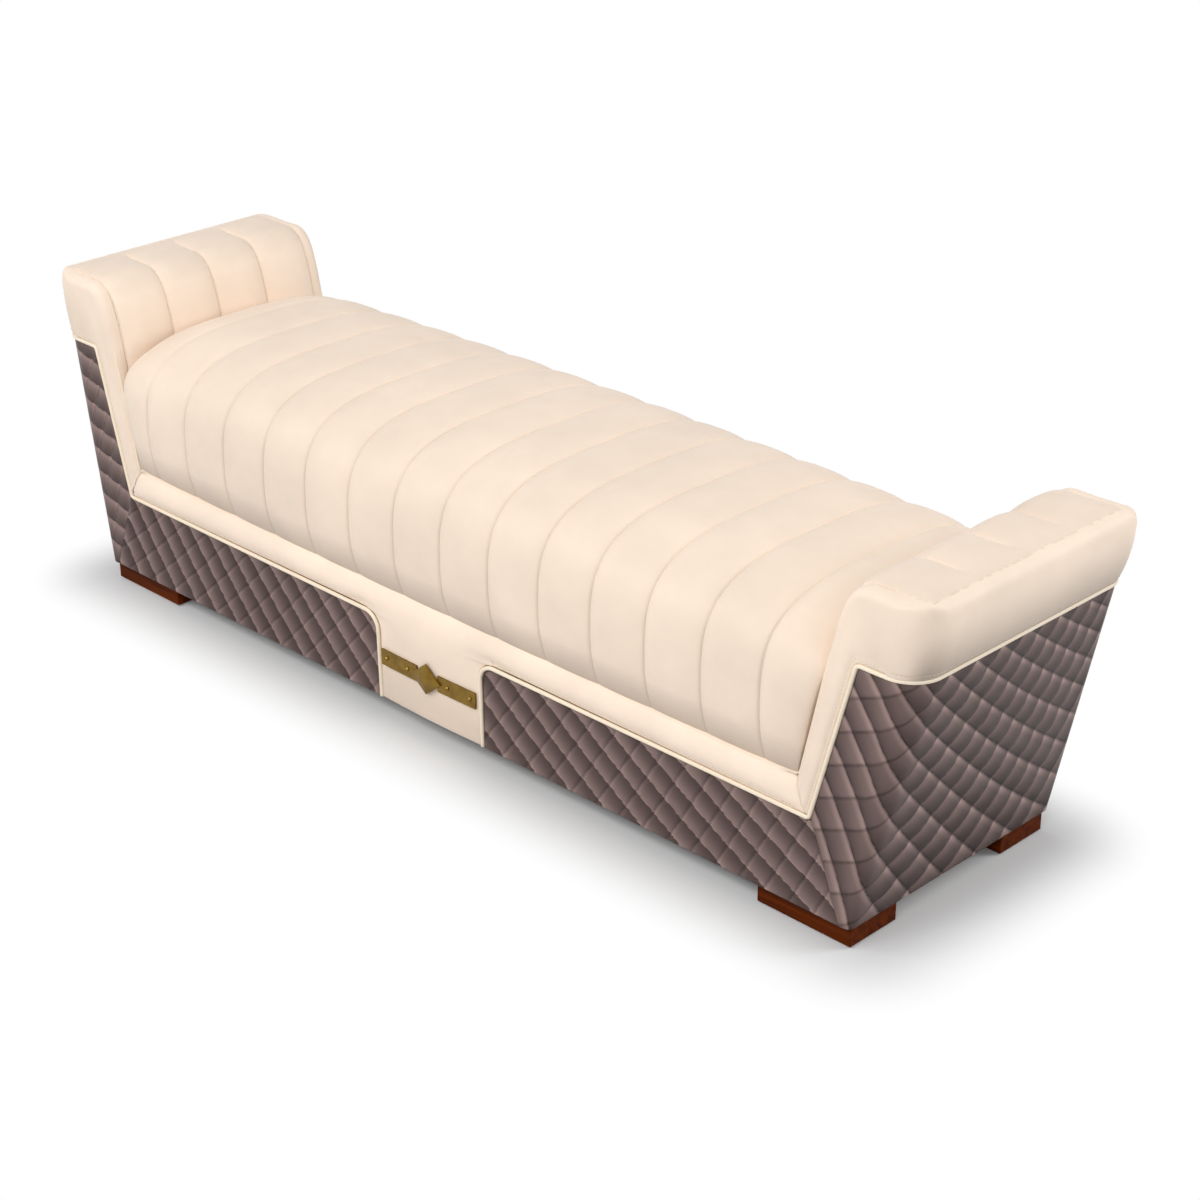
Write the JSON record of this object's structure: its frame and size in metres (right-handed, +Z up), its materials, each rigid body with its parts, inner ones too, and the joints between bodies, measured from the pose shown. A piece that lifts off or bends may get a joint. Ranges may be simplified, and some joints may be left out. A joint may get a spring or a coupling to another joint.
{
  "type": "bed bench",
  "caption": "Long upholstered bench for the foot of a bed, with a channelled cream leather seat between two flared arms, quilted brown panels, piping and low wooden block feet.",
  "frame": {"origin": "on the floor, under the middle of the bench", "axes": "+X along the bench, -Y to its front with the drop panel, +Z up"},
  "size_m": [1.9096, 0.5158, 0.561],
  "materials": {
    "seat_leather": "smooth cream leather, semi-matt",
    "arm_leather": "smooth cream leather, semi-matt",
    "facing_leather": "smooth cream leather, semi-matt",
    "quilted_leather": "quilted brown leather, satin",
    "piping_leather": "cream leather piping",
    "foot_wood": "red-brown stained wood, satin",
    "frame_wood": "planed softwood",
    "frame_board": "plywood",
    "foam": "open-cell foam",
    "ornament_brass": "aged gold, satin",
    "steel": "zinc plated",
    "felt": "pressed felt",
    "dust_cloth": "black non-woven cloth"
  },
  "bodies": {
    "root": {"seat_cover": "seat_leather", "arm_pad_left": "arm_leather", "arm_pad_right": "arm_leather", "arm_facing_left": "facing_leather", "arm_facing_right": "facing_leather", "front_border": "facing_leather", "back_border": "facing_leather", "drop_panel": "facing_leather", "front_quilt_left": "quilted_leather", "front_quilt_right": "quilted_leather", "end_quilt_left": "quilted_leather", "end_quilt_right": "quilted_leather", "back_quilt": "quilted_leather", "piping_left": "piping_leather", "piping_right": "piping_leather", "foot_front_left": "foot_wood", "foot_front_right": "foot_wood", "foot_rear_left": "foot_wood", "foot_rear_right": "foot_wood", "front_rail": "frame_wood", "back_rail": "frame_wood", "end_rail_left": "frame_wood", "end_rail_right": "frame_wood", "cross_stretchers": "frame_wood", "corner_blocks": "frame_wood", "seat_edge_strips": "frame_wood", "arm_posts_left": "frame_wood", "arm_posts_right": "frame_wood", "arm_top_rail_left": "frame_wood", "arm_top_rail_right": "frame_wood", "seat_deck": "frame_board", "arm_inner_board_left": "frame_board", "arm_inner_board_right": "frame_board", "end_board_left": "frame_board", "end_board_right": "frame_board", "arm_face_boards_left": "frame_board", "arm_face_boards_right": "frame_board", "seat_foam_core": "foam", "arm_foam_left": "foam", "arm_foam_right": "foam", "ornament_strap_left": "ornament_brass", "ornament_strap_right": "ornament_brass", "ornament_boss": "ornament_brass", "ornament_rivets": "ornament_brass", "hanger_bolts": "steel", "t_nuts": "steel", "staples": "steel", "felt_pads": "felt", "dust_cover": "dust_cloth"}
  },
  "joints": []
}
